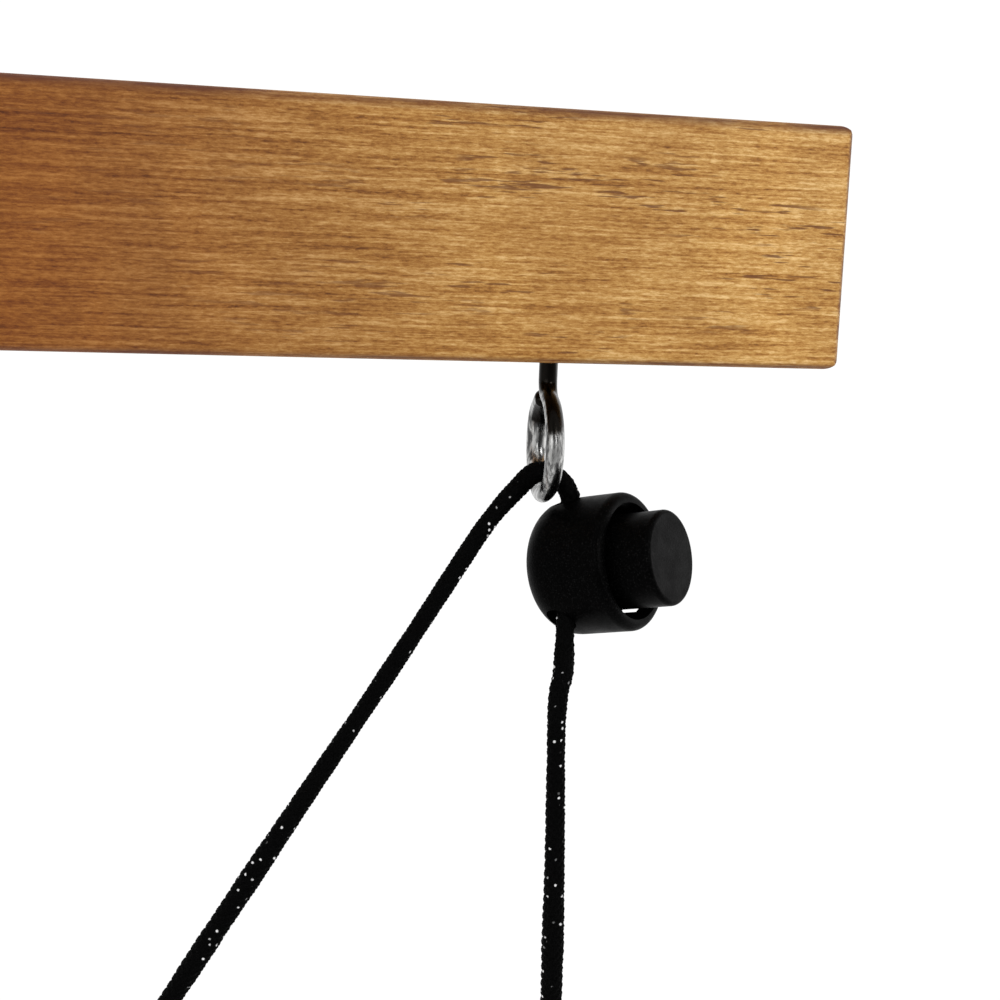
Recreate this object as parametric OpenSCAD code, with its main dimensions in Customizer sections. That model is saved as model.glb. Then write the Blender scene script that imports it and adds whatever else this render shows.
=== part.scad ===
// Ceiling rail with two screw eyes, a cord lock on each cord and a bar hung from the cords.
// Millimetres. Origin: centre of the rail's top face. X runs along the rail, Z is up, -Y is the front.

/* [Wood] */
// Length of the ceiling rail
rail_len = 600; // [560:10:800]
// Length of the hanging bar
hang_len = 400; // [380:10:480]
// Thickness of both wooden bars
wood_t = 19; // [18:0.5:22]
// Height of both wooden bars
wood_h = 38; // [38:1:44]
// Radius of the softened long edges
edge_r = 1.5; // [1:0.25:2]
// Radius of the corners, seen from the front
corner_r = 2.5; // [1:0.25:4]

/* [Fixing holes] */
// Distance between the two fixing holes
hole_pitch = 400; // [300:10:440]
// Diameter of the clearance hole
hole_d = 4.5; // [4:0.5:5]
// Diameter of the counterbore that hides the screw head
cbore_d = 9.5; // [9:0.5:12]
// Depth of the counterbore, from below
cbore_depth = 12; // [6:1:16]

/* [Screw eyes] */
// Distance from the rail's end to its eye
eye_inset = 45.5; // [40:0.5:60]
// Diameter of the eye's wire
wire_d = 3; // [2.8:0.1:3]
// Radius of the ring, to the middle of the wire
ring_r = 7.8; // [7.8:0.1:8.2]
// Radius of the bend between shank and ring
neck_r = 3; // [2.5:0.25:3]
// Length of thread in the wood
thread_len = 16; // [12:1:20]

/* [Cord] */
// Diameter of the braided cord
cord_d = 3; // [2.6:0.1:3]

/* [Cord lock] */
// Outer diameter of the lock's body
lock_d = 22.2; // [21.8:0.1:22.4]
// Length of the lock's body along its button
lock_len = 16; // [16:0.25:17]
// Radius of the body's rounded back
lock_back_r = 6; // [5.5:0.25:6.5]
// Diameter of the push button
button_d = 15.2; // [14:0.1:16]
// Height of the button above the body's rim
button_out = 6.7; // [5:0.1:8]
// Travel of the button
press = 1.7; // [1:0.1:1.7]

/* [Hidden] */
$fn = 64;
eps = 0.01;

// Screw eye, measured from the middle of its ring
wire_r = wire_d / 2;
neck_z = sqrt(pow(ring_r + neck_r, 2) - neck_r * neck_r);
neck_turn = atan(neck_z / neck_r);
ring_end = 72;
joint_bulge = 0.03;
base_z = 13.5;
root_r = 1.15;
pilot_r = 1.25;
thread_pitch = 1.25;
tip_len = 3;
eye_x = rail_len / 2 - eye_inset;
eye_z = -wood_h - base_z;

// Hanging bar, below the ends of the load lines
hang_eye_x = 166.6;
hang_eye_z = -195.1;
hang_top = hang_eye_z - base_z;

// Cord routes, measured from the middle of the eye's shank in X and from the ceiling in Z
cord_r = cord_d / 2 - 0.05;
cord_sides = 8;
LOAD_ROUTE = [
    [-0.8, 0, -55.9], [-1.9, 0, -56.3], [-3, 0, -57.2], [-4.4, 0, -58.7], [-5.9, 0, -60.3], [-7.6, 0, -62.3],
    [-9.4, 0, -64.7], [-11.9, 0, -68.5], [-24.5, 0, -88.6], [-37.3, 0, -108.4], [-50, 0, -128.2],
    [-62.5, 0, -148], [-80.4, 0, -176.2]
];
LOCK_ROUTE = [
    [-0.8, 0, -55.9], [0.5, 0, -56.1], [1.9, 0.1, -56.7], [3.3, 0, -57.8], [4.2, -0.4, -59.4],
    [4.4, -0.3, -60.4], [3.4, -4.05, -69.4], [2.35, -7.85, -78.5], [1.5, -10.9, -85.8]
];
TAIL_ROUTE = [
    [1.5, -10.9, -85.8], [0.7, -11.8, -88.8], [0.4, -12.2, -92], [0.4, -12.3, -96], [0.7, -12.3, -106],
    [1, -12.3, -116], [1.2, -12.3, -126], [1.4, -12.3, -138], [1.6, -12.3, -152], [1.6, -12.3, -168],
    [1.6, -12.3, -186]
];
tail_knot_len = 9;
tail_knot_r = 4;
tail_end_len = 12;
line_knot_len = 9;
line_knot_r = 3.4;
loop_r = 3.3;

// Cord lock, measured along its axis from the back of the body
lock_at = [2.4, 3.2, -72.5];
lock_azimuth = -46;
lock_rise = 12.5;
lock_roll = -20;
lock_r = lock_d / 2;
cavity_r = 9.2;
cavity_back = 1.2;
cavity_back_r = 5.3;
mouth_r = 8.9;
mouth_from = 10.1;
flare_from = 13.5;
flare_per_mm = 0.18;
rim_round = 1.4;
flare_len = lock_len - flare_from + 2;
cord_w = 6.4;
cord_n = 4.6;
cord_hole_r = 2.4;
cord_hole_w = cord_w + cord_d / 2 + 0.12 - cord_hole_r;
window_turn = 50;
window_w = 8.6;
window_len = 4.9;
window_wide = 4;
notch_wide = 3.6;
button_r = button_d / 2;
button_edge = 0.8;
skirt_r = 9.05;
skirt_back = 3.1;
skirt_back_r = 5.15;
skirt_front = 10;
slot_w = cord_w - cord_d / 2 - 0.12;
slot_len = cord_d + 0.24 + press;
slot_wide = 3.8;
pocket_r = 1.95;
pocket_end = 12;
spigot_r = 0.9;
spigot_end = 2.6;
coil_r = 1.45;
coil_wire_r = 0.22;
coil_turns = 7;
coil_steps = 12;

wood_colour = "peru";
metal_colour = "silver";
lock_colour = "#1c1c1e";
cord_colour = "#111111";

// ---- shared shapes ----

// A rectangle about the origin with round corners
module round_rect(w, h, r) {
    square([w - 2 * r, h], center = true);
    square([w, h - 2 * r], center = true);
    for (x = [-1, 1], y = [-1, 1])
        translate([x * (w / 2 - r), y * (h / 2 - r)])
            circle(r);
}

// A block about the origin with every edge rounded, and the corners of its front face by corner_r
module round_block(l, t, h, r) {
    intersection() {
        rotate([90, 0, 90])
            linear_extrude(l, center = true)
                round_rect(t, h, r);
        rotate([90, 0, 0])
            linear_extrude(t + 2, center = true)
                round_rect(l, h, corner_r);
        linear_extrude(h + 2, center = true)
            round_rect(l, t, r);
    }
}

// Wire bent along an arc in the YZ plane, from one angle (from +Y towards +Z) over a sweep
module bent_wire(bend_r, from, sweep) {
    rotate([90, 0, 90])
        rotate([0, 0, from])
            rotate_extrude(angle = sweep)
                translate([bend_r, 0])
                    circle(wire_r, $fn = 32);
}

// Screw eye about the middle of its ring, with its thread pointing up
module screw_eye() {
    bent_wire(ring_r, 180 - neck_turn, 180 + neck_turn + ring_end);
    translate([0, -neck_r, neck_z])
        bent_wire(neck_r, -neck_turn, neck_turn);
    translate([0, 0, neck_z])
        cylinder(h = base_z - neck_z + 1, r = wire_r, $fn = 32);
    for (joint = [[0, 0, neck_z], ring_r * [0, -cos(neck_turn), sin(neck_turn)]])
        translate(joint)
            sphere(wire_r + joint_bulge, $fn = 32);
    translate([0, 0, base_z + 1])
        rotate_extrude($fn = 32)
            polygon(thread_outline());
}

// Half outline of a threaded shank that ends in a point
function thread_outline() = concat(
    [[0, 0], [wire_r, 0]],
    [for (i = [0:floor((thread_len - tip_len) / thread_pitch) - 1], k = [0, 1])
        [k == 0 ? root_r : wire_r - 0.02, (i + 0.5 + k / 2) * thread_pitch]],
    [[root_r, thread_len - tip_len], [0, thread_len]]
);

// Holes that a screw eye's shank and point need in the wood, along +Z from the face
module eye_pilot() {
    translate([0, 0, -eps])
        cylinder(h = 1 + thread_pitch / 2 + eps, r = wire_r + 0.05, $fn = 32);
    cylinder(h = thread_len + 2, r = pilot_r, $fn = 32);
}

// A plain tube swept along a route, with its end faces square to two given ways
function unit(v) = v / norm(v);
function heading(p, i) = unit(p[min(i + 1, len(p) - 1)] - p[max(i - 1, 0)]);
function way(p, i, ways) = i == 0 ? unit(ways[0]) : i == len(p) - 1 ? unit(ways[1]) : heading(p, i);
function across(h) = unit(cross([0, 1, 0], h));
function ring_points(p, i, r, sides, ways) = let (h = way(p, i, ways), a = across(h), b = cross(h, a))
    [for (k = [0:sides - 1]) p[i] + r * (cos(360 * k / sides) * a + sin(360 * k / sides) * b)];
module tube(p, r, sides, ways) {
    n = len(p);
    points = [for (i = [0:n - 1]) each ring_points(p, i, r, sides, ways)];
    walls = [for (i = [0:n - 2], k = [0:sides - 1]) let (j = (k + 1) % sides)
        [i * sides + k, i * sides + j, (i + 1) * sides + j, (i + 1) * sides + k]];
    first = [for (k = [sides - 1:-1:0]) k];
    last = [for (k = [0:sides - 1]) (n - 1) * sides + k];
    polyhedron(points, concat([first], walls, [last]), convexity = 6);
}

// Everything on one side is made at the right-hand end and mirrored for the left
module side(name) {
    if (name == "right")
        children();
    else
        mirror([1, 0, 0])
            children();
}

module at_eye() {
    translate([eye_x, 0, 0])
        children();
}

// Places a lock part drawn with its axis along +Z and its cord holes along X
module at_lock() {
    at_eye()
        translate(lock_at)
            rotate([0, 0, lock_azimuth])
                rotate([0, 90 - lock_rise, 0])
                    rotate([0, 0, lock_roll])
                        children();
}

// A disc stack with a rounded back: radius r, back at z0 with round r0, front at z1
module round_backed(r, z0, r0, z1) {
    rotate_extrude()
        round_backed_half(r, z0, r0, z1);
}

module round_backed_half(r, z0, r0, z1) {
    square_from([0, z0], [r - r0, z1]);
    square_from([0, z0 + r0], [r, z1]);
    intersection() {
        translate([r - r0, z0 + r0])
            circle(r0);
        square_from([r - r0, z0], [r, z0 + r0]);
    }
}

// The same, with the front edge rounded by r1 as well
module round_both(r, z0, r0, z1, r1) {
    rotate_extrude() {
        round_backed_half(r, z0, r0, z1 - r1);
        square_from([0, z1 - r1], [r - r1, z1]);
        intersection() {
            translate([r - r1, z1 - r1])
                circle(r1);
            square_from([r - r1, z1 - r1], [r, z1]);
        }
    }
}

module square_from(low, high) {
    translate(low)
        square(high - low);
}

// ---- wood ----

module ceiling_rail() {
    color(wood_colour)
        difference() {
            translate([0, 0, -wood_h / 2])
                round_block(rail_len, wood_t, wood_h, edge_r);
            for (s = [-1, 1]) {
                translate([s * hole_pitch / 2, 0, -wood_h - 1])
                    cylinder(h = wood_h + 2, d = hole_d);
                translate([s * hole_pitch / 2, 0, -wood_h - 1])
                    cylinder(h = cbore_depth + 1, d = cbore_d);
                translate([s * eye_x, 0, -wood_h])
                    eye_pilot();
            }
        }
}

module hanging_bar() {
    color(wood_colour)
        difference() {
            translate([0, 0, hang_top - wood_h / 2])
                round_block(hang_len, wood_t, wood_h, edge_r);
            for (s = [-1, 1])
                translate([s * hang_eye_x, 0, hang_top])
                    mirror([0, 0, 1])
                        eye_pilot();
        }
}

// ---- screw eyes ----

module eye(name) {
    color(metal_colour)
        side(name)
            translate([eye_x, 0, eye_z])
                screw_eye();
}

module bar_eye(name) {
    color(metal_colour)
        side(name)
            translate([hang_eye_x, 0, hang_eye_z])
                mirror([0, 0, 1])
                    screw_eye();
}

// ---- cord locks ----

module cord_holes(w, r) {
    for (n = [-cord_n, cord_n])
        translate([-lock_r - 1, n, w])
            rotate([0, 90, 0])
                cylinder(h = lock_d + 2, r = r, $fn = 32);
}

module lock_body(name) {
    color(lock_colour)
        side(name)
            at_lock() {
                difference() {
                    round_both(lock_r, 0, lock_back_r, lock_len, rim_round);
                    round_backed(cavity_r, cavity_back, cavity_back_r, mouth_from);
                    translate([0, 0, mouth_from - eps])
                        cylinder(h = lock_len, r = mouth_r);
                    translate([0, 0, flare_from - 1])
                        cylinder(h = flare_len, r1 = mouth_r - flare_per_mm,
                                 r2 = mouth_r + flare_per_mm * (flare_len - 1));
                    cord_holes(cord_hole_w, cord_hole_r);
                    for (turn = [window_turn, 180 - window_turn])
                        rotate([0, 0, turn])
                            translate([mouth_r - 1, -window_wide / 2, window_w])
                                cube([lock_r, window_wide, window_len]);
                }
                translate([0, 0, cavity_back - 0.2])
                    cylinder(h = spigot_end - cavity_back + 0.2, r = spigot_r, $fn = 32);
            }
}

module lock_button(name) {
    color(lock_colour)
        side(name)
            at_lock()
                difference() {
                    union() {
                        round_backed(skirt_r, skirt_back, skirt_back_r, skirt_front);
                        translate([0, 0, lock_len + button_out])
                            mirror([0, 0, 1])
                                round_backed(button_r, 0, button_edge, lock_len + button_out - skirt_front + 1);
                    }
                    for (n = [-cord_n, cord_n])
                        translate([-skirt_r - 1, n - slot_wide / 2, slot_w])
                            cube([2 * skirt_r + 2, slot_wide, slot_len]);
                    for (turn = [window_turn, 180 - window_turn])
                        rotate([0, 0, turn])
                            translate([button_r, -notch_wide / 2, window_w])
                                cube([lock_r, notch_wide, skirt_front - window_w + 1]);
                    translate([0, 0, skirt_back - 1])
                        cylinder(h = pocket_end - skirt_back + 1, r = pocket_r, $fn = 32);
                }
}

// Spring route: open coils between the body's back wall and the end of the button's pocket
function spring_route() = let (n = coil_turns * coil_steps, low = cavity_back + coil_wire_r + 0.05,
                               high = pocket_end - coil_wire_r - 0.05)
    [for (i = [0:n]) [coil_r * cos(360 * i / coil_steps), coil_r * sin(360 * i / coil_steps),
                      low + (high - low) * i / n]];

module lock_spring(name) {
    color(metal_colour)
        side(name)
            at_lock()
                tube(spring_route(), coil_wire_r, 5, [[0, coil_r, 0.3], [0, coil_r, 0.3]]);
}

// ---- cords and knots ----

// The ways of the cord where one run of it meets the next
over_way = [1, 0, 0];
line_end = [eye_x, 0, 0] + LOAD_ROUTE[len(LOAD_ROUTE) - 1];
loop_at = [hang_eye_x, 0, hang_eye_z + ring_r];
line_way = loop_at - line_end;
join_way = TAIL_ROUTE[1] - LOCK_ROUTE[len(LOCK_ROUTE) - 2];
down_way = [0, 0, -1];

module cord_run(name, route, ways) {
    color(cord_colour)
        side(name)
            at_eye()
                tube(route, cord_r, cord_sides, ways);
}

module tail_knot(name) {
    color(cord_colour)
        side(name)
            at_eye()
                translate(TAIL_ROUTE[len(TAIL_ROUTE) - 1])
                    mirror([0, 0, 1]) {
                        rotate_extrude($fn = 32)
                            polygon([[0, 0], [tail_knot_r * 0.7, 0], [tail_knot_r, 2.5],
                                     [tail_knot_r, tail_knot_len - 2.5], [tail_knot_r * 0.7, tail_knot_len],
                                     [0, tail_knot_len]]);
                        cylinder(h = tail_knot_len + tail_end_len, r = cord_r, $fn = 32);
                    }
}

// A loop round the top of the bar's eye, and the knot that closes it on the load line
module line_knot(name) {
    lean = atan(line_way[0] / line_way[2]);
    reach = norm(line_way);
    color(cord_colour)
        side(name)
            translate(loop_at)
                rotate([0, lean, 0]) {
                    rotate([90, 0, 0])
                        rotate_extrude($fn = 48)
                            translate([loop_r, 0])
                                circle(cord_r, $fn = 24);
                    translate([0, 0, reach - line_knot_len])
                        rotate_extrude($fn = 32)
                            polygon([[0, 0], [line_knot_r * 0.75, 0], [line_knot_r, 1.5],
                                     [line_knot_r, line_knot_len - 1.5], [line_knot_r * 0.75, line_knot_len],
                                     [0, line_knot_len]]);
                }
}

ceiling_rail();
eye("left");  // eye_left
eye("right");  // eye_right
lock_body("left");  // lock_body_left
lock_body("right");  // lock_body_right
lock_button("left");  // lock_button_left
lock_button("right");  // lock_button_right
lock_spring("left");  // lock_spring_left
lock_spring("right");  // lock_spring_right
cord_run("left", LOCK_ROUTE, [over_way, join_way]);  // lock_cord_left
cord_run("right", LOCK_ROUTE, [over_way, join_way]);  // lock_cord_right
cord_run("left", LOAD_ROUTE, [-over_way, line_way]);  // load_line_left
cord_run("right", LOAD_ROUTE, [-over_way, line_way]);  // load_line_right
cord_run("left", TAIL_ROUTE, [join_way, down_way]);  // tail_line_left
cord_run("right", TAIL_ROUTE, [join_way, down_way]);  // tail_line_right
tail_knot("left");  // tail_knot_left
tail_knot("right");  // tail_knot_right
hanging_bar();
bar_eye("left");  // bar_eye_left
bar_eye("right");  // bar_eye_right
line_knot("left");  // line_knot_left
line_knot("right");  // line_knot_right
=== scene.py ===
"""The looks of the ceiling pulley rack: stained wood, bright wire, black plastic and braided cord.

Metres throughout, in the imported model's frame: X along the rail, Z up, -Y the front.
"""

import math

import bmesh
import bpy
from mathutils import Matrix, Vector

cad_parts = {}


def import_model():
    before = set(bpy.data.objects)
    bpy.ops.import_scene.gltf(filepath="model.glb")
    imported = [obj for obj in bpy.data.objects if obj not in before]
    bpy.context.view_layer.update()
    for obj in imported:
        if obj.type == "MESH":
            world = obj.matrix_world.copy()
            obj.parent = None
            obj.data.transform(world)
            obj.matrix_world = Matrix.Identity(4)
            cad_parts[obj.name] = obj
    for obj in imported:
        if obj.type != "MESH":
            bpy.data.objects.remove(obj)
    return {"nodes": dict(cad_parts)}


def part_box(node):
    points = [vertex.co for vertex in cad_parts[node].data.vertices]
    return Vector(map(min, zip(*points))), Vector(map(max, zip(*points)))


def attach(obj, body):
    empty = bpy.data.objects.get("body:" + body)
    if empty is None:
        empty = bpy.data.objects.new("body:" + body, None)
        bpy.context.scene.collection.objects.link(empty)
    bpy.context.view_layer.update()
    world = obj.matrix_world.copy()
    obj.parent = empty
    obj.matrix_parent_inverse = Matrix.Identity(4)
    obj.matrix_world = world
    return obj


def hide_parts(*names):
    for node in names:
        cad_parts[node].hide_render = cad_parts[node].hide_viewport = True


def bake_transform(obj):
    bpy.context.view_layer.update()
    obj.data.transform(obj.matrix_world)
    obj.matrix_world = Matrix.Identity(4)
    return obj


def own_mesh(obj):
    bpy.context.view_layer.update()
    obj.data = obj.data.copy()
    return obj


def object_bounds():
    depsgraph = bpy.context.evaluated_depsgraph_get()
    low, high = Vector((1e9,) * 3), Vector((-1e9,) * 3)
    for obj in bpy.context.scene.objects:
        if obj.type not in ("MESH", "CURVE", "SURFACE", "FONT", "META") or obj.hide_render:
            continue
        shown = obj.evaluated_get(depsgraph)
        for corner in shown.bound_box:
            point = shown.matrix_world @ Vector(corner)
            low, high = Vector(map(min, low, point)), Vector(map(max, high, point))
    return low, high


MM = 0.001
SIDES = {"left": -1, "right": 1}
UP = Vector((0, 0, 1))

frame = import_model()
nodes = frame["nodes"]
cad_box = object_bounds()


# ---- where things are ----

def middle(node):
    """The middle of a CAD node's box."""
    low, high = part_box(node)
    return (low + high) / 2


# Screw eyes: the ring's and neck's bends, the wire, and where the ring stops short of closing
EYE_X = middle("eye_right").x
RING_R, NECK_R, WIRE_R = 7.8 * MM, 3 * MM, 1.5 * MM
RING_END = math.radians(72)

# Where the wire is painted near-black as a dark reflection, going up on the rail and down on the bar: past
# the first height on all but the side that faces the rack's middle, which stays bright as a painted
# highlight, and past the second all round
RING_DROP, RING_FADE = 4.4 * MM, 1.6 * MM
SHANK_RISE, SHANK_FADE = 5.7 * MM, 1.5 * MM
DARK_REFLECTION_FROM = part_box("eye_right")[0].z + 2 * RING_R - RING_DROP
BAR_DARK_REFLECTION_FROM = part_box("bar_eye_right")[1].z - 2 * RING_R + RING_DROP

CORD_D = 3.1 * MM

# Cord routes, from the middle of the eye's shank in X and from the ceiling in Z, as in part.scad
LOAD_ROUTE = [
    (-0.8, 0, -55.9), (-1.9, 0, -56.3), (-3, 0, -57.2), (-4.4, 0, -58.7), (-5.9, 0, -60.3), (-7.6, 0, -62.3),
    (-9.4, 0, -64.7), (-11.9, 0, -68.5), (-24.5, 0, -88.6), (-37.3, 0, -108.4), (-50, 0, -128.2),
    (-62.5, 0, -148), (-80.4, 0, -176.2),
]
LOCK_ROUTE = [
    (-0.8, 0, -55.9), (0.5, 0, -56.1), (1.9, 0.1, -56.7), (3.3, 0, -57.8), (4.2, -0.4, -59.4),
    (4.4, -0.3, -60.4), (3.4, -4.05, -69.4), (2.35, -7.85, -78.5), (1.5, -10.9, -85.8),
]
TAIL_ROUTE = [
    (1.5, -10.9, -85.8), (0.7, -11.8, -88.8), (0.4, -12.2, -92), (0.4, -12.3, -96), (0.7, -12.3, -106),
    (1, -12.3, -116), (1.2, -12.3, -126), (1.4, -12.3, -138), (1.6, -12.3, -152), (1.6, -12.3, -168),
    (1.6, -12.3, -186),
]

# Cord lock's frame: its back's middle, measured as the routes are, and the turns of its axis
LOCK_AT = (2.4, 3.2, -72.5)
LOCK_AZIMUTH, LOCK_RISE = math.radians(-46), math.radians(12.5)

# The spring's ends along that axis, its coil and wire, and how far the button presses it
SPRING_FROM, SPRING_TO = 1.5 * MM, 11.7 * MM
COIL_R, COIL_WIRE_R, COIL_TURNS = 1.45 * MM, 0.22 * MM, 7


def place(point, side):
    """A route point of the right-hand end, in metres, on either side."""
    return Vector((SIDES[side] * (EYE_X + point[0] * MM), point[1] * MM, point[2] * MM))


def route(points, side):
    return [place(p, side) for p in points]


# ---- curves and tubes ----

def smooth(points, step):
    """The Catmull-Rom curve through points, at an even spacing close to step."""
    ends = [2 * points[0] - points[1], *points, 2 * points[-1] - points[-2]]
    fine = []
    for a, b, c, d in zip(ends, ends[1:], ends[2:], ends[3:]):
        for i in range(24):
            t = i / 24
            fine.append(0.5 * (2 * b + (c - a) * t + (2 * a - 5 * b + 4 * c - d) * t**2
                               + (3 * b - a - 3 * c + d) * t**3))
    fine.append(points[-1].copy())
    return even(fine, step)


def length_of(line):
    return sum((b - a).length for a, b in zip(line, line[1:]))


def even(line, step):
    """The line's points again, evenly spaced."""
    count = max(2, round(length_of(line) / step))
    gap = length_of(line) / count
    out, walked, want = [line[0].copy()], 0.0, gap
    for a, b in zip(line, line[1:]):
        span = (b - a).length
        while span > 0 and want <= walked + span + 1e-12 and len(out) < count:
            out.append(a.lerp(b, (want - walked) / span))
            want += gap
        walked += span
    out.append(line[-1].copy())
    return out


def frames(line):
    """(point, side, side) along a line, carried along with no twist."""
    out, side = [], None
    for i, p in enumerate(line):
        ahead = (line[min(i + 1, len(line) - 1)] - line[max(i - 1, 0)]).normalized()
        if side is None:
            side = ahead.orthogonal().normalized()
        side = (side - ahead * side.dot(ahead)).normalized()
        out.append((p, side, ahead.cross(side)))
    return out


def sweep(bm, line, radius, around, closed=False, start=0.0):
    """Adds a tube along line; radius(s, angle) is its size at s metres along and angle round."""
    rings, along = [], start
    for i, (p, a, b) in enumerate(frames(line)):
        if i:
            along += (p - line[i - 1]).length
        rings.append([
            bm.verts.new(p + (math.cos(t) * a + math.sin(t) * b) * radius(along, t))
            for t in (2 * math.pi * k / around for k in range(around))
        ])
    pairs = list(zip(rings, rings[1:])) + ([(rings[-1], rings[0])] if closed else [])
    for one, two in pairs:
        for k in range(around):
            j = (k + 1) % around
            bm.faces.new((one[k], one[j], two[j], two[k]))
    if not closed:
        bm.faces.new(rings[0][::-1])
        bm.faces.new(rings[-1])


def made(name, bm, material):
    """The finished object of a bmesh, smooth shaded."""
    bmesh.ops.recalc_face_normals(bm, faces=bm.faces)
    mesh = bpy.data.meshes.new(name)
    bm.to_mesh(mesh)
    bm.free()
    mesh.polygons.foreach_set("use_smooth", [True] * len(mesh.polygons))
    mesh.materials.append(material)
    obj = bpy.data.objects.new(name, mesh)
    bpy.context.scene.collection.objects.link(obj)
    return obj


# ---- braid ----

# Strands each way and the length in which one goes round, then the mesh's sides and spacing
STRANDS = 8
LEAD = 11.5 * MM
AROUND = 36
STEP = 0.3 * MM


def smoothstep(x, low, high):
    """0 at low to 1 at high; low may be the larger."""
    t = min(1, max(0, (x - low) / (high - low)))
    return t * t * (3 - 2 * t)


def girth(s):
    """How full the cord is, s metres from the eye: the slack lower part opens up a little."""
    near_eye = 0.10 * smoothstep(s, 12 * MM, 4 * MM)
    lower = 0.20 * smoothstep(s, 50 * MM, 85 * MM) - 0.16 * smoothstep(s, 90 * MM, 125 * MM)
    return 0.98 + near_eye + lower + 0.02 * math.sin(s * 330 + 1)


def tail_girth(s):
    """The same for the tail, which is also spread where it leaves the lock."""
    return girth(s) + 0.13 * smoothstep(s, 30.5 * MM, 33 * MM) * smoothstep(s, 42 * MM, 33 * MM)


def braid(radius, fullness=lambda s: 1.0):
    """Radius of a braided cord: two sets of strands that pass over and under each other."""
    def at(s, angle):
        turn = STRANDS * angle / (2 * math.pi)
        climb = STRANDS * s / LEAD
        one, two = turn + climb, turn - climb
        i, j = math.floor(one), math.floor(two)
        u, v = one - i - 0.5, two - j - 0.5
        over = 1 if (i + j) % 2 == 0 else -1
        high_one = math.cos(math.pi * u * 0.9) * (1 + 0.45 * over * math.cos(math.pi * v))
        high_two = math.cos(math.pi * v * 0.9) * (1 - 0.45 * over * math.cos(math.pi * u))
        slow = 0.012 * math.sin(s * 1100) + 0.01 * math.sin(s * 470 + 1.3)
        return radius * fullness(s) * (0.72 + 0.215 * max(high_one, high_two) + slow)
    return at


def cord_mesh(name, lines, fullness=lambda s: 1.0):
    bm = bmesh.new()
    for line in lines:
        sweep(bm, line, braid(CORD_D / 2, fullness), AROUND)
    return made(name, bm, CORD)


# ---- materials ----

class Shader:
    """A material's node tree, with short calls for the nodes used here."""

    def __init__(self, name):
        self.material = bpy.data.materials.new(name)
        self.material.use_nodes = True
        self.tree = self.material.node_tree
        self.bsdf = next(n for n in self.tree.nodes if n.type == "BSDF_PRINCIPLED")
        self.object = self.add("ShaderNodeTexCoord").outputs["Object"]

    def add(self, kind, **settings):
        node = self.tree.nodes.new(kind)
        for key, value in settings.items():
            setattr(node, key, value)
        return node

    def put(self, node, socket, value):
        target = node.inputs[socket]
        if isinstance(value, bpy.types.NodeSocket):
            self.tree.links.new(value, target)
        else:
            target.default_value = value

    def math(self, operation, *values, clamp=False):
        node = self.add("ShaderNodeMath", operation=operation, use_clamp=clamp)
        for i, value in enumerate(values):
            self.put(node, i, value)
        return node.outputs[0]

    def stretch(self, scale, offset=(0, 0, 0)):
        """The object coordinate times a scale on each axis."""
        node = self.add("ShaderNodeMapping")
        self.put(node, "Vector", self.object)
        self.put(node, "Scale", scale)
        self.put(node, "Location", offset)
        return node.outputs[0]

    def noise(self, vector, scale=1.0, detail=4.0, roughness=0.55, distortion=0.0):
        node = self.add("ShaderNodeTexNoise")
        self.put(node, "Vector", vector)
        self.put(node, "Scale", scale)
        self.put(node, "Detail", detail)
        self.put(node, "Roughness", roughness)
        self.put(node, "Distortion", distortion)
        return node.outputs["Fac"]

    def ramp(self, value, *stops):
        """A colour ramp; each stop is (place, colour)."""
        node = self.add("ShaderNodeValToRGB")
        elements = node.color_ramp.elements
        while len(elements) < len(stops):
            elements.new(0.5)
        for element, (place_, colour) in zip(elements, stops):
            element.position = place_
            element.color = (*colour, 1)
        self.put(node, "Fac", value)
        return node.outputs["Color"]

    def between(self, value, low, high, to_low=0.0, to_high=1.0):
        """The value's place from low to high, smoothly, as a number."""
        node = self.add("ShaderNodeMapRange", interpolation_type="SMOOTHSTEP")
        for socket, number in zip((1, 2, 3, 4), (low, high, to_low, to_high)):
            self.put(node, socket, number)
        self.put(node, 0, value)
        return node.outputs[0]

    def mix(self, factor, one, two, blend="MIX"):
        node = self.add("ShaderNodeMix", data_type="RGBA", blend_type=blend)
        self.put(node, 0, factor)
        self.put(node, 6, one if isinstance(one, bpy.types.NodeSocket) else (*one, 1))
        self.put(node, 7, two if isinstance(two, bpy.types.NodeSocket) else (*two, 1))
        return node.outputs[2]

    def normal_x(self):
        """How far the surface faces along X, from -1 to 1."""
        split = self.add("ShaderNodeSeparateXYZ")
        self.put(split, 0, self.add("ShaderNodeNewGeometry").outputs["Normal"])
        return split.outputs[0]

    def axes(self):
        """The object coordinate's three parts."""
        split = self.add("ShaderNodeSeparateXYZ")
        self.put(split, 0, self.object)
        return split.outputs

    def bump(self, height, strength, distance):
        node = self.add("ShaderNodeBump")
        self.put(node, "Height", height)
        self.put(node, "Strength", strength)
        self.put(node, "Distance", distance)
        self.put(self.bsdf, "Normal", node.outputs[0])

    def set(self, **sockets):
        for name, value in sockets.items():
            self.put(self.bsdf, name.replace("_", " "), value)


# Wood tones: grain from its dark lines to its light ones, what stain does to it, the painted shade along the
# batten and its darker edges
GRAIN_TONES = ((0.37, (0.140, 0.046, 0.006)), (0.45, (0.355, 0.155, 0.028)),
               (0.52, (0.525, 0.285, 0.076)), (0.61, (0.780, 0.515, 0.220)))
PATCH_TONES = ((0.36, (0.85, 0.80, 0.73)), (0.50, (0.98, 0.97, 0.95)), (0.62, (1.08, 1.08, 1.08)))
END_TONES = ((0.1, (0.24, 0.098, 0.024)), (0.8, (0.36, 0.165, 0.046)))
# Painted shade, laid over the stretch of the batten away from its lit end
PAINTED_SHADE_TONE = (0.45, 0.265, 0.12)
PORE_BROWN = (0.130, 0.040, 0.010)
# Darker along the batten's edges
DARK_EDGE_TONE = (0.085, 0.020, 0.008)


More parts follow.
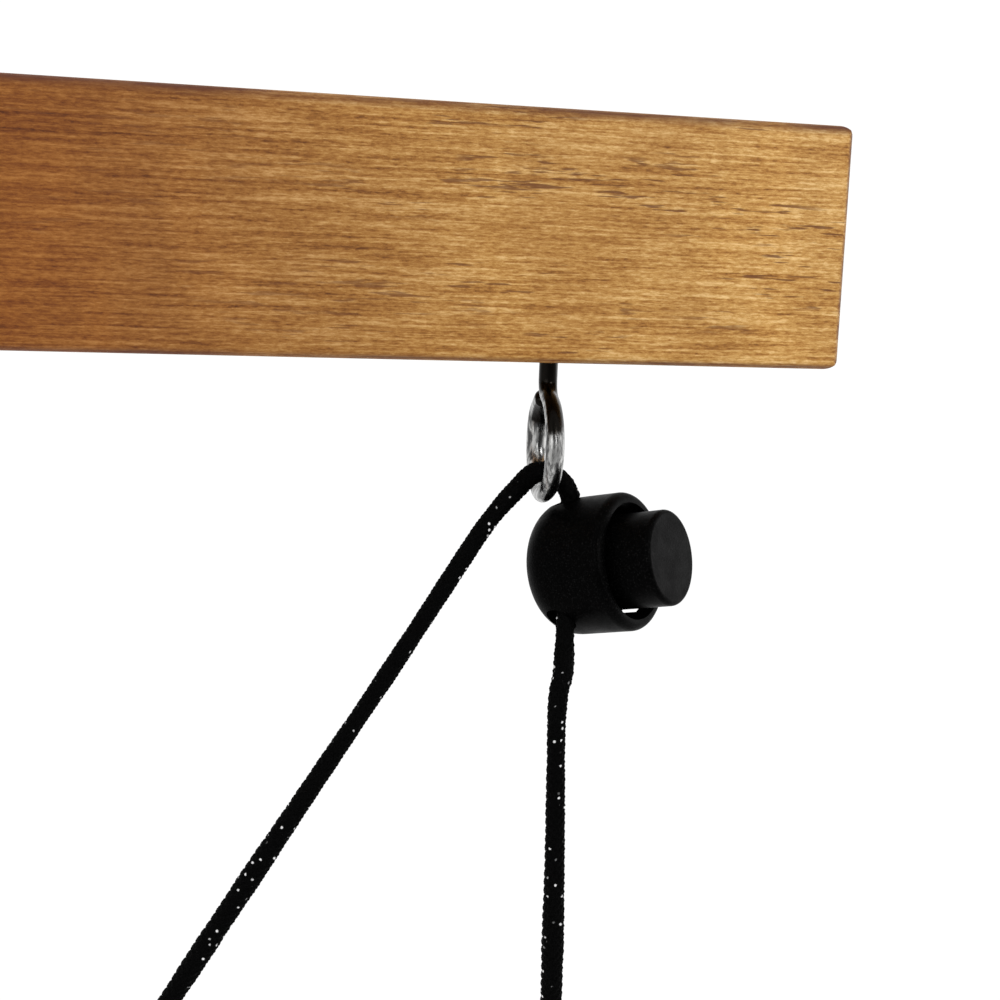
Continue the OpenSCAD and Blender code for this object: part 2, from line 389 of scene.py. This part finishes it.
def wood_grain(s, shift):
    """Fine lines, fibres and streaks along X, as one height from 0 to 1."""
    lines = s.noise(s.stretch((60, 1700, 2000), shift), detail=3, roughness=0.7, distortion=0.35)
    fibre = s.noise(s.stretch((700, 2600, 2600), shift), detail=4, roughness=0.8, distortion=0.2)
    streak = s.noise(s.stretch((30, 420, 480), shift), detail=5, roughness=0.65, distortion=0.6)
    return s.math("ADD", s.math("MULTIPLY", fibre, 0.40),
                  s.math("ADD", s.math("MULTIPLY", lines, 0.35), s.math("MULTIPLY", streak, 0.25)))


def wood_dashes(s, far, seed):
    """Short dark pores, fainter in the middle of the batten's length."""
    pore = s.noise(s.stretch((150, 900, 1900), (seed * 3.1, 0, seed)), detail=2, roughness=0.5)
    where = s.noise(s.stretch((40, 30, 110), (seed * 5.3, 0, seed)), detail=1)
    dash = s.math("MULTIPLY", s.between(pore, 0.59, 0.67), s.between(where, 0.46, 0.56), clamp=True)
    return s.math("MULTIPLY", dash, s.between(far, 0.18, 0.26, 0.4, 1.0))


def batten_edges(s, axes, low, high):
    """1 along the edges of the box from low to high, where two of its faces meet."""
    def near(axis, at, wide):
        gap = s.math("ABSOLUTE", s.math("SUBTRACT", axis, at))
        return s.between(gap, 0.0003, wide, 1, 0)

    x, y, z = axes
    near_x = s.math("MAXIMUM", near(x, low.x, 0.0012), near(x, high.x, 0.0012))
    near_y = s.math("MAXIMUM", near(y, low.y, 0.0018), near(y, high.y, 0.0018))
    near_z = s.math("MAXIMUM", near(z, low.z, 0.0010), near(z, high.z, 0.0020))
    ends = s.math("MAXIMUM", s.math("MINIMUM", near_x, near_y), s.math("MINIMUM", near_x, near_z))
    return s.math("MAXIMUM", ends, s.math("MINIMUM", near_y, near_z))


def end_grain(s, seed):
    """The growth rings on the sawn ends."""
    rings = s.add("ShaderNodeTexWave", wave_type="RINGS", rings_direction="X")
    s.put(rings, "Vector", s.stretch((1, 1, 1), (0, 0.045 + seed * 0.004, 0.06)))
    s.put(rings, "Scale", 210)
    s.put(rings, "Distortion", 5)
    s.put(rings, "Detail", 3)
    return s.ramp(rings.outputs["Fac"], *END_TONES)


def stained_wood(name, low, high, seed):
    """Golden brown stain on fine straight grain; low and high are the batten's corners."""
    s = Shader(name)
    axes = s.axes()
    far = s.math("ABSOLUTE", axes[0])
    shift = (seed * 1.7, seed * 0.9, seed * 2.3)
    grain = wood_grain(s, shift)
    band = s.noise(s.stretch((30, 26, 18), shift), detail=4, roughness=0.55, distortion=0.6)
    tone = s.mix(1.0, s.ramp(grain, *GRAIN_TONES), s.ramp(band, *PATCH_TONES), "MULTIPLY")
    # Painted shade: darker within about 0.17 to 0.26 m of the batten's middle, a little less so right at the
    # middle
    painted_shade = s.math("MULTIPLY", s.between(far, 0.262, 0.168), s.between(far, 0.05, 0.15, 0.55, 1.0))
    tone = s.mix(painted_shade, tone, s.mix(1.0, tone, PAINTED_SHADE_TONE, "MULTIPLY"))
    dash = wood_dashes(s, far, seed)
    tone = s.mix(s.math("MULTIPLY", dash, 0.85), tone, PORE_BROWN)
    ragged = s.between(s.noise(s.stretch((60, 300, 300), shift), detail=3), 0.3, 0.62, 0.40, 1.0)
    # Darker along the batten's edges, in a ragged band
    edge_dark = s.math("MULTIPLY", batten_edges(s, axes, low, high), s.math("MULTIPLY", ragged, 0.92))
    tone = s.mix(edge_dark, tone, DARK_EDGE_TONE)
    tone = s.mix(s.between(s.math("ABSOLUTE", s.normal_x()), 0.8, 0.95), tone, end_grain(s, seed))
    s.set(Base_Color=tone, Coat_Weight=0.05, Coat_Roughness=0.35, Specular_IOR_Level=0.22)
    s.put(s.bsdf, "Roughness", s.between(grain, 0.3, 0.7, 0.60, 0.42))
    s.bump(s.math("SUBTRACT", grain, s.math("MULTIPLY", dash, 0.5)), 0.5, 0.00035)
    return s.material


def bright_metal():
    """Nickel plate on drawn wire, polished in streaks from dark to bright that are partly painted
    reflection, and near-black towards the shank as a painted dark reflection.
    """
    s = Shader("bright_metal")
    x, _, z = s.axes()
    streak = s.noise(s.stretch((1400, 1400, 260)), detail=4, roughness=0.65, distortion=0.4)
    cloud = s.noise(s.stretch((260, 260, 200), (3, 1, 2)), detail=3)
    # The streaks from near-black to bright base colour are partly drawn-wire polish and partly painted
    # reflection
    tone = s.mix(s.between(streak, 0.40, 0.63), (0.06, 0.06, 0.06), (0.46, 0.46, 0.45))
    rough_z = s.math("ADD", z, s.math("MULTIPLY", s.math("SUBTRACT", cloud, 0.5), 4 * MM))
    past = s.math("MAXIMUM", s.between(rough_z, DARK_REFLECTION_FROM, DARK_REFLECTION_FROM + RING_FADE),
                  s.between(rough_z, BAR_DARK_REFLECTION_FROM, BAR_DARK_REFLECTION_FROM - RING_FADE))
    shank_from, bar_shank_from = DARK_REFLECTION_FROM + SHANK_RISE, BAR_DARK_REFLECTION_FROM - SHANK_RISE
    shank = s.math("MAXIMUM", s.between(z, shank_from, shank_from + SHANK_FADE),
                   s.between(z, bar_shank_from, bar_shank_from - SHANK_FADE))
    outward = s.math("MULTIPLY", s.normal_x(), s.math("SIGN", x))
    facing = s.math("MAXIMUM", shank, s.between(outward, -0.93, -0.80))
    # Painted dark reflection: near-black past those heights, except the inward side below the shank, left
    # bright as a painted highlight
    tone = s.mix(s.math("MULTIPLY", past, facing), tone, (0.008, 0.007, 0.006))
    s.set(Metallic=1.0, Base_Color=tone)
    s.put(s.bsdf, "Roughness", s.between(cloud, 0.3, 0.7, 0.14, 0.30))
    s.bump(streak, 0.35, 0.00015)
    return s.material


def spring_steel():
    s = Shader("spring_steel")
    drawn = s.noise(s.stretch((900, 900, 900)), detail=3)
    s.set(Metallic=1.0, Base_Color=s.ramp(drawn, (0.3, (0.35, 0.35, 0.36)), (0.7, (0.60, 0.60, 0.61))))
    s.put(s.bsdf, "Roughness", s.between(drawn, 0.3, 0.7, 0.25, 0.42))
    return s.material


def lock_plastic():
    """Black moulded plastic with a fine spark-eroded texture."""
    s = Shader("lock_plastic")
    speck = s.noise(s.stretch((1, 1, 1)), scale=4200, detail=2, roughness=0.7)
    wide = s.noise(s.stretch((1, 1, 1)), scale=420, detail=3)
    tone = s.ramp(speck, (0.42, (0.0003, 0.0003, 0.0003)), (0.58, (0.0009, 0.0009, 0.0009)),
                  (0.72, (0.010, 0.010, 0.010)))
    s.set(Base_Color=tone, Specular_IOR_Level=0.014)
    s.put(s.bsdf, "Roughness", s.between(wide, 0.3, 0.7, 0.32, 0.44))
    s.bump(s.math("ADD", speck, s.math("MULTIPLY", wide, 0.4)), 0.5, 0.00008)
    return s.material


def braided_cord():
    """Black polyester braid: fine filaments with a dull sheen and a few bright flecks."""
    s = Shader("braided_cord")
    hair = s.noise(s.stretch((1, 1, 1)), scale=5200, detail=2, roughness=0.7)
    cells = s.add("ShaderNodeTexVoronoi")
    s.put(cells, "Vector", s.object)
    s.put(cells, "Scale", 900)
    pick = s.add("ShaderNodeSeparateColor")
    s.put(pick, 0, cells.outputs["Color"])
    fleck = s.math("MULTIPLY", s.between(cells.outputs["Distance"], 0.12, 0.26, 1, 0),
                   s.between(pick.outputs[0], 0.74, 0.86))
    tone = s.ramp(hair, (0.35, (0.0003, 0.0003, 0.0003)), (0.70, (0.0030, 0.0030, 0.0030)))
    s.set(Base_Color=s.mix(fleck, tone, (0.80, 0.80, 0.80)), Specular_IOR_Level=0.015)
    s.put(s.bsdf, "Roughness", s.between(hair, 0.3, 0.7, 0.65, 0.45))
    s.bump(hair, 0.5, 0.0001)
    return s.material


METAL, STEEL, PLASTIC, CORD = bright_metal(), spring_steel(), lock_plastic(), braided_cord()


# ---- camera, light and floor ----

def camera():
    """In front of the rail near its right-hand end and level with it, turned a little right and down."""
    data = bpy.data.cameras.new("camera")
    data.lens, data.sensor_width = 52.2, 36
    data.clip_start, data.clip_end = 0.01, 50
    yaw, pitch, roll = (math.radians(a) for a in (13.13, 8.65, 2.05))
    ahead = Vector((math.sin(yaw) * math.cos(pitch), math.cos(yaw) * math.cos(pitch), -math.sin(pitch)))
    right = Vector((math.cos(yaw), -math.sin(yaw), 0))
    up = right.cross(ahead)
    turned = Matrix((math.cos(roll) * right + math.sin(roll) * up,
                     math.cos(roll) * up - math.sin(roll) * right, -ahead)).transposed()
    rail_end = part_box("ceiling_rail")[1].x
    obj = bpy.data.objects.new("camera", data)
    obj.matrix_world = Matrix.Translation((rail_end - 0.10481, -0.22366, -0.02559)) @ turned.to_4x4()
    bpy.context.scene.collection.objects.link(obj)
    bpy.context.scene.camera = obj


def lamp(name, at, aim, size, watts):
    """A square white lamp at a place, turned towards aim."""
    data = bpy.data.lights.new(name, "AREA")
    data.shape, data.size, data.energy = "SQUARE", size, watts
    obj = bpy.data.objects.new(name, data)
    obj.location = at
    obj.rotation_mode = "QUATERNION"
    obj.rotation_quaternion = (Vector(aim) - Vector(at)).to_track_quat("-Z", "Y")
    bpy.context.scene.collection.objects.link(obj)


def world():
    """White all round, with a darker patch in front of the rack for the bright wire to mirror."""
    studio = bpy.data.worlds.new("studio")
    bpy.context.scene.world = studio
    studio.use_nodes = True
    tree = studio.node_tree
    back = next(n for n in tree.nodes if n.type == "BACKGROUND")
    coord = tree.nodes.new("ShaderNodeTexCoord")
    dot = tree.nodes.new("ShaderNodeVectorMath")
    dot.operation = "DOT_PRODUCT"
    dot.inputs[1].default_value = Vector((0.05, -1.0, 0.05)).normalized()
    tree.links.new(coord.outputs["Generated"], dot.inputs[0])
    fade = tree.nodes.new("ShaderNodeMapRange")
    fade.interpolation_type = "SMOOTHSTEP"
    for socket, value in (("From Min", 0.35), ("From Max", 0.90), ("To Min", 1.0), ("To Max", 0.40)):
        fade.inputs[socket].default_value = value
    tree.links.new(dot.outputs["Value"], fade.inputs[0])
    tree.links.new(fade.outputs[0], back.inputs["Color"])
    back.inputs["Strength"].default_value = 1.05


def floor():
    """A pale floor well below the hanging bar."""
    bm = bmesh.new()
    bmesh.ops.create_grid(bm, x_segments=2, y_segments=2, size=0.75)
    mesh = bpy.data.meshes.new("floor")
    bm.to_mesh(mesh)
    bm.free()
    s = Shader("floor")
    s.set(Base_Color=(0.93, 0.93, 0.93, 1), Roughness=0.9)
    mesh.materials.append(s.material)
    obj = bpy.data.objects.new("floor", mesh)
    obj.location.z = cad_box[0].z - 0.4
    bpy.context.scene.collection.objects.link(obj)


camera()
world()
floor()
lamp("key", (0.75, -0.85, 0.35), (0.2, 0, -0.05), 0.30, 4.0)
lamp("fill", (-0.45, -1.0, 0.30), (0, 0, -0.08), 0.6, 3.0)
lamp("side", (0.85, 0.17, -0.06), (0.27, -0.01, -0.07), 0.30, 0.35)


# ---- cords and knots ----

def cord_lines(side):
    """The cord's halves, down to the load and to the tail, each from the top of its bend over the eye."""
    load, tail = route(LOAD_ROUTE, side), route(LOCK_ROUTE + TAIL_ROUTE[1:], side)
    whole = smooth(load[::-1] + tail[1:], STEP)
    top = min(range(len(whole)), key=lambda i: (whole[i] - load[0]).length)
    return whole[top::-1], whole[top:]


def load_cord(side, line):
    obj = cord_mesh(f"load_cord_{side}", [line], girth)
    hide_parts(f"load_line_{side}")
    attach(obj, "lines")
    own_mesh(obj)
    return obj


def tail_cord(side, line):
    obj = cord_mesh(f"tail_cord_{side}", [line], tail_girth)
    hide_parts(f"lock_cord_{side}", f"tail_line_{side}")
    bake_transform(obj)
    return obj


def arc_points(centre, a, b, radius, start, stop, count):
    """Points on an arc about centre, from angle start to stop, turning from a towards b."""
    return [centre + radius * (math.cos(t) * a + math.sin(t) * b)
            for t in (start + (stop - start) * i / (count - 1) for i in range(count))]


def stopper_knot(side):
    """The knot at the tail's end: a coil inside a closed loop, with a free end below."""
    turns, coil_r, coil_top, coil_len, free_end = 1.55, 2.3, 1.6, 6.2, 20.6
    ring_r, ring_at = 2.35, 4.7
    top = place(TAIL_ROUTE[-1], side)
    along, a, b = -UP, Vector((SIDES[side], 0, 0)), Vector((0, 1, 0))

    def at(down, turn, wide):
        return top + along * down * MM + (math.cos(turn) * a + math.sin(turn) * b) * wide * MM

    line = [at(0, 0, 0), at(1, 0, 0)]
    for i in range(13):
        t = i / 12
        down = coil_top + coil_len * t + 0.9 * math.sin(4 * math.pi * t)
        line.append(at(down, 2 * math.pi * (turns * t - 0.25), coil_r * math.sin(math.pi * t) ** 0.45))
    line += [at(down, 0, 0) for down in (9.5, 12, free_end)]
    loop = []
    for i in range(25):
        t = 2 * math.pi * i / 24
        loop.append(at(ring_at + 1.5 * math.sin(t), t, ring_r + 0.25 * math.cos(2 * t)))
    obj = cord_mesh(f"stopper_knot_{side}", [smooth(line, STEP), smooth(loop, STEP)])
    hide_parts(f"tail_knot_{side}")
    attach(obj, f"tail_end_{side}")
    return obj


def loop_knot(side, line_end):
    """The loop round the bar's eye and the wraps that close it on the load line."""
    loop_r, wrap_r, wrap_turns, wrap_from, wrap_len = 3.25 * MM, 1.95 * MM, 3.6, 1.6 * MM, 6.6 * MM
    eye = f"bar_eye_{side}"
    loop_at = Vector((middle(eye).x, 0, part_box(eye)[1].z - WIRE_R))
    out = (line_end - loop_at).normalized()
    across = out.cross(Vector((0, 1, 0))).normalized()
    front = Vector((0, -1, 0))
    reach = (line_end - loop_at).length
    ring = arc_points(loop_at, out, across, loop_r, 0, 2 * math.pi, 33)
    wraps = []
    for i in range(49):
        t = i / 48
        turn = 2 * math.pi * wrap_turns * t
        wraps.append(loop_at + out * (reach - wrap_from - wrap_len * t)
                     + (math.cos(turn) * across + math.sin(turn) * front) * wrap_r)
    stand = [line_end, line_end.lerp(loop_at, 0.35), loop_at + out * 3.3 * MM]
    obj = cord_mesh(f"loop_knot_{side}", [smooth(ring, STEP), smooth(wraps, STEP), smooth(stand, STEP)])
    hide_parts(f"line_knot_{side}")
    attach(obj, "bar")
    return obj


for side in SIDES:
    load_path, tail_path = cord_lines(side)
    load, tail = load_cord(side, load_path), tail_cord(side, tail_path)
    stopper, closing = stopper_knot(side), loop_knot(side, load_path[-1])


# ---- screw eyes ----

def eye_line(node, up):
    """A screw eye's centre line: tip, shank, neck, then round the ring to its open end."""
    low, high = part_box(node)
    ring_z = low.z + RING_R + WIRE_R if up > 0 else high.z - RING_R - WIRE_R
    centre = Vector((middle(node).x, 0, ring_z))
    inward = math.copysign(0.06, -centre.x)
    front, rise = Vector((inward, -1, 0)).normalized(), UP * up
    neck_z = math.sqrt((RING_R + NECK_R) ** 2 - NECK_R**2)
    turn = math.atan2(neck_z, NECK_R)
    top = abs((high.z if up > 0 else low.z) - ring_z)
    line = [centre + rise * (top - 1 * MM), centre + rise * (neck_z + 0.5 * MM)]
    line += arc_points(centre + front * NECK_R + rise * neck_z, -front, -rise, NECK_R, 0, turn, 9)
    return line + arc_points(centre, front, rise, RING_R, turn, -math.pi - RING_END, 60)[1:]


def wire_radius(total):
    """Radius of the eye's wire: pointed and threaded at its start, oval on the ring, blunt at its end."""
    pitch, thread_depth, thread_len = 1.25 * MM, 0.3 * MM, 15 * MM

    def at(s, angle):
        ridge = 0.5 + 0.5 * math.sin(2 * math.pi * s / pitch + angle)
        thread = -thread_depth * ridge if s < thread_len else 0.0
        tip = min(1.0, 0.15 + s / (3 * MM))
        blunt = min(1.0, 0.35 + (total - s) / (0.9 * MM))
        ring = smoothstep(s, 19 * MM, 24 * MM) * smoothstep(total - s, 2 * MM, 6 * MM)
        oval = 1 + 0.15 * ring * math.cos(2 * angle)
        return (WIRE_R * oval + thread) * tip * blunt
    return at


def screw_eye(node, body, up):
    """A wire screw eye, swept in one piece. up is 1 or -1, the way that its shank points."""
    line = eye_line(node, up)
    bm = bmesh.new()
    sweep(bm, even(line, 0.35 * MM), wire_radius(length_of(line)), 28)
    obj = made(f"{node}_wire", bm, METAL)
    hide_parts(node)
    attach(obj, body)


for side in SIDES:
    screw_eye(f"eye_{side}", "root", 1)
    screw_eye(f"bar_eye_{side}", "bar", -1)


# ---- springs ----

def lock_axes(side):
    """(back of the lock, axis towards the button) on that side."""
    x, y, z = (math.cos(LOCK_RISE) * math.cos(LOCK_AZIMUTH), math.cos(LOCK_RISE) * math.sin(LOCK_AZIMUTH),
               math.sin(LOCK_RISE))
    return place(LOCK_AT, side), Vector((SIDES[side] * x, y, z))


def spring(side):
    """The coil between the lock's back wall and its button, a little closer wound at its ends."""
    back, axis = lock_axes(side)
    a = axis.orthogonal().normalized()
    b = axis.cross(a)
    line = []
    for i in range(COIL_TURNS * 24 + 1):
        t = i / (COIL_TURNS * 24)
        turn = 2 * math.pi * COIL_TURNS * t
        along = SPRING_FROM + (SPRING_TO - SPRING_FROM) * (t - math.sin(2 * math.pi * t) * 0.03)
        line.append(back + axis * along + (math.cos(turn) * a + math.sin(turn) * b) * COIL_R)
    bm = bmesh.new()
    sweep(bm, line, lambda s, angle: COIL_WIRE_R, 8)
    obj = made(f"spring_coil_{side}", bm, STEEL)
    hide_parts(f"lock_spring_{side}")
    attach(obj, f"lock_{side}")
    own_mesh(obj)


for side in SIDES:
    spring(side)


# ---- materials of the CAD nodes that stay ----

def dress(node, material):
    """Gives a CAD node its material; its mesh stays as it is."""
    mesh = nodes[node].data
    mesh.materials.clear()
    mesh.materials.append(material)


for number, bar in enumerate(("ceiling_rail", "hanging_bar")):
    dress(bar, stained_wood(f"{bar}_wood", *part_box(bar), seed=number + 1))
for side in SIDES:
    dress(f"lock_body_{side}", PLASTIC)
    dress(f"lock_button_{side}", PLASTIC)

bpy.context.scene.view_settings.view_transform = "Standard"

bpy.context.view_layer.update()
